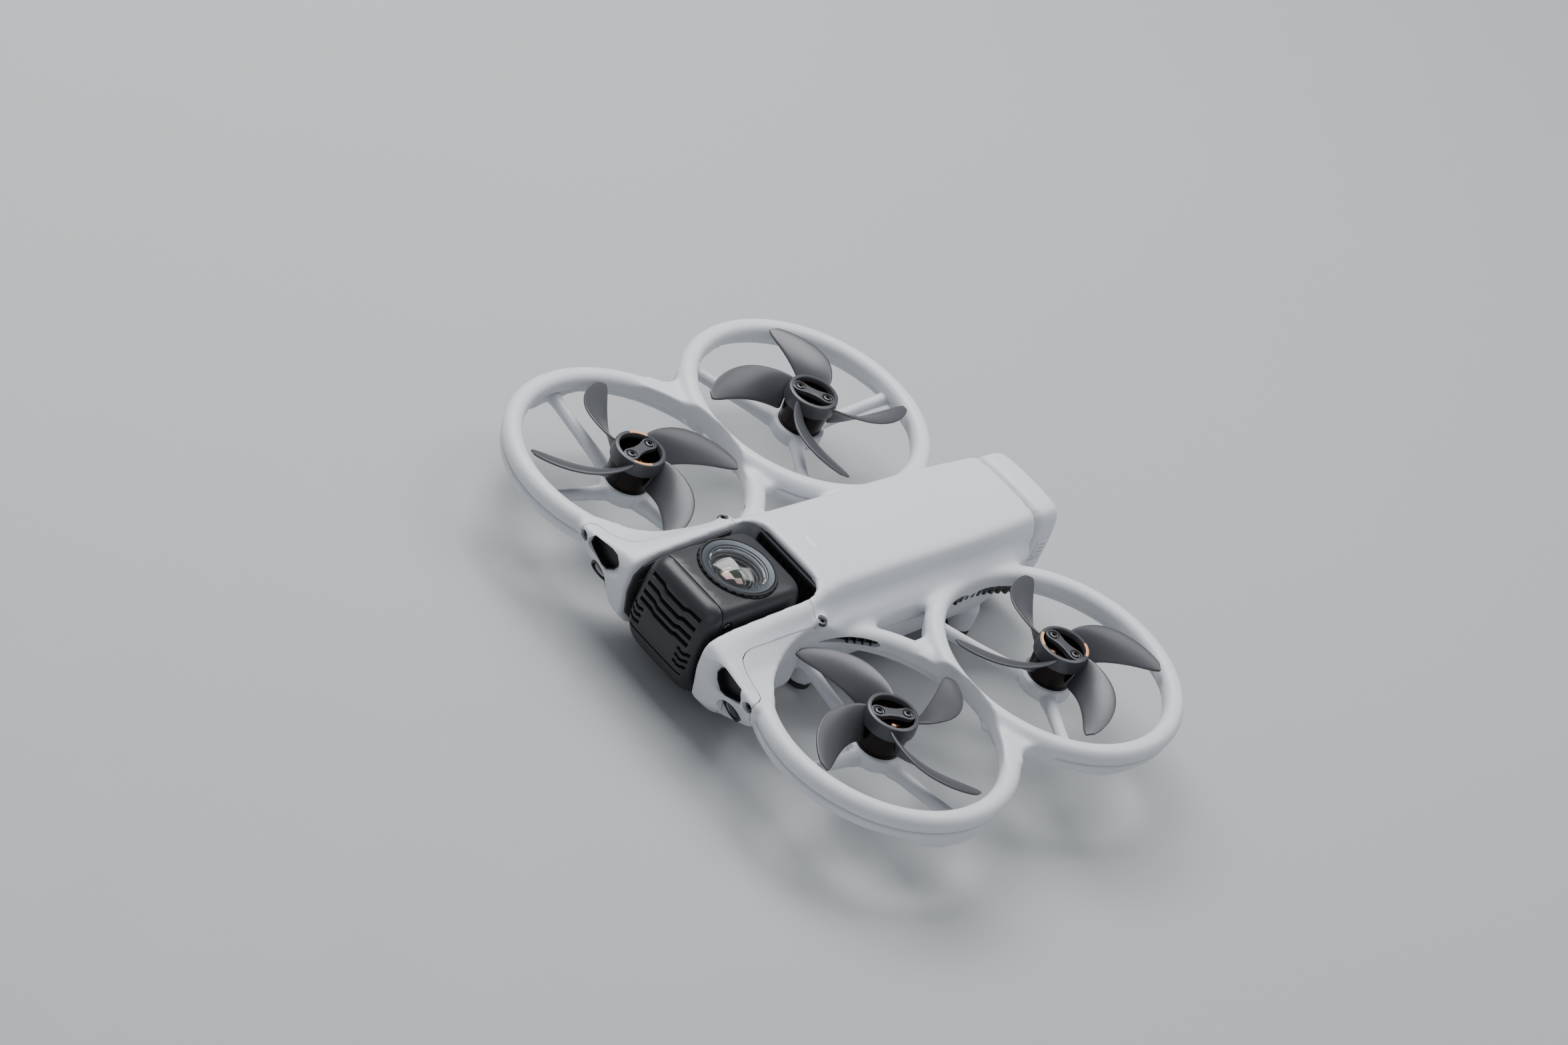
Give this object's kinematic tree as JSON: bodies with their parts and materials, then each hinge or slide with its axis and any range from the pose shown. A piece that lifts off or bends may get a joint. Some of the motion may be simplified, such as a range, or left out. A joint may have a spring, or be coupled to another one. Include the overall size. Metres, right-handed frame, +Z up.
{
  "type": "fpv racing drone",
  "caption": "Ducted camera drone with guard rings around swept propellers, a fisheye camera block that tilts in the nose and a battery that slides out of the tail.",
  "frame": {"origin": "centre of the footprint, on the surface that the foot pads stand on", "axes": "+X to the right seen from the front, nose and camera towards -Y, +Z up"},
  "size_m": [0.2454, 0.1898, 0.0545],
  "materials": {
    "shell_light_grey": "fine satin texture",
    "motor_copper": "enamelled copper windings on a steel core",
    "bell_black": "semi-gloss black anodised",
    "prop_dark_grey": "satin moulded",
    "mark_orange": "printed inlay",
    "screw_black": "black oxide",
    "camera_graphite": "fine satin graphite",
    "steel": "turned",
    "lens_ring_grey": "anodised grey-blue",
    "lens_black": "stepped baffles",
    "lens_glass": "coated glass",
    "sensor_gloss_black": "polished",
    "battery_light_grey": "fine satin texture",
    "button_dark": "satin",
    "light_diffuser": "milky diffuser",
    "fan_black": "moulded",
    "board_green": "solder mask",
    "sink_dark_aluminium": "black anodised",
    "pad_rubber": "matt"
  },
  "bodies": {
    "airframe": {"front_arm_left": "shell_light_grey", "front_arm_right": "shell_light_grey", "guard_ring_front_left": "shell_light_grey", "guard_ring_front_right": "shell_light_grey", "guard_ring_rear_left": "shell_light_grey", "guard_ring_rear_right": "shell_light_grey", "hull_lower": "shell_light_grey", "hull_upper": "shell_light_grey", "motor_mount_front_left": "shell_light_grey", "motor_mount_front_right": "shell_light_grey", "motor_mount_rear_left": "shell_light_grey", "motor_mount_rear_right": "shell_light_grey", "motor_stator_front_left": "motor_copper", "motor_stator_front_right": "motor_copper", "motor_stator_rear_left": "motor_copper", "motor_stator_rear_right": "motor_copper", "side_gusset_left": "shell_light_grey", "side_gusset_right": "shell_light_grey", "vision_sensors": "sensor_gloss_black", "belly_sensor_window": "sensor_gloss_black", "status_light": "light_diffuser", "frame_screws": "screw_black", "fan_frame": "fan_black", "main_board": "board_green", "heat_sink": "sink_dark_aluminium", "foot_pads": "pad_rubber"},
    "rotor_front_right": {"motor_bell_front_right": "bell_black", "propeller_front_right": "prop_dark_grey", "hub_screws_front_right": "screw_black"},
    "rotor_front_left": {"motor_bell_front_left": "bell_black", "propeller_front_left": "prop_dark_grey", "hub_screws_front_left": "screw_black", "prop_marks_front_left": "mark_orange"},
    "rotor_rear_right": {"motor_bell_rear_right": "bell_black", "propeller_rear_right": "prop_dark_grey", "hub_screws_rear_right": "screw_black", "prop_marks_rear_right": "mark_orange"},
    "rotor_rear_left": {"motor_bell_rear_left": "bell_black", "propeller_rear_left": "prop_dark_grey", "hub_screws_rear_left": "screw_black"},
    "camera": {"camera_body": "camera_graphite", "camera_front_cover": "camera_graphite", "camera_pivots": "steel", "lens_barrel_bottom": "lens_black", "lens_barrel_top": "lens_black", "lens_dome_bottom": "lens_glass", "lens_dome_top": "lens_glass", "lens_ring_bottom": "lens_ring_grey", "lens_ring_top": "lens_ring_grey"},
    "battery": {"battery": "battery_light_grey"},
    "latch_right": {"battery_latch_right": "button_dark"},
    "latch_left": {"battery_latch_left": "button_dark"},
    "power_button": {"power_button": "button_dark"},
    "cooling_fan": {"fan_rotor": "fan_black"}
  },
  "joints": [
    {"name": "spin_front_right", "type": "hinge", "parent": "airframe", "child": "rotor_front_right", "pos_m": [0.072, -0.0442, 0.0402], "axis": [0, 0, 1], "continuous": true},
    {"name": "spin_front_left", "type": "hinge", "parent": "airframe", "child": "rotor_front_left", "pos_m": [-0.072, -0.0442, 0.0402], "axis": [0, 0, 1], "continuous": true},
    {"name": "spin_rear_right", "type": "hinge", "parent": "airframe", "child": "rotor_rear_right", "pos_m": [0.072, 0.0442, 0.0455], "axis": [0, 0, 1], "continuous": true},
    {"name": "spin_rear_left", "type": "hinge", "parent": "airframe", "child": "rotor_rear_left", "pos_m": [-0.072, 0.0442, 0.0455], "axis": [0, 0, 1], "continuous": true},
    {"name": "camera_tilt", "type": "hinge", "parent": "airframe", "child": "camera", "pos_m": [0, -0.067, 0.0284], "axis": [1, 0, 0], "range_deg": [-10, 90]},
    {"name": "battery_slide", "type": "slide", "parent": "airframe", "child": "battery", "axis": [0, 1, 0], "range_m": [0, 0.075]},
    {"name": "press_latch_right", "type": "slide", "parent": "battery", "child": "latch_right", "axis": [-1, 0, 0], "range_m": [0, 0.0012], "stiffness_N_per_m": 300},
    {"name": "press_latch_left", "type": "slide", "parent": "battery", "child": "latch_left", "axis": [1, 0, 0], "range_m": [0, 0.0012], "stiffness_N_per_m": 300},
    {"name": "press_power_button", "type": "slide", "parent": "battery", "child": "power_button", "axis": [0, -1, 0], "range_m": [0, 0.0008], "stiffness_N_per_m": 400},
    {"name": "spin_cooling_fan", "type": "hinge", "parent": "airframe", "child": "cooling_fan", "pos_m": [0, -0.012, 0.03], "axis": [0, 0, 1], "continuous": true}
  ]
}
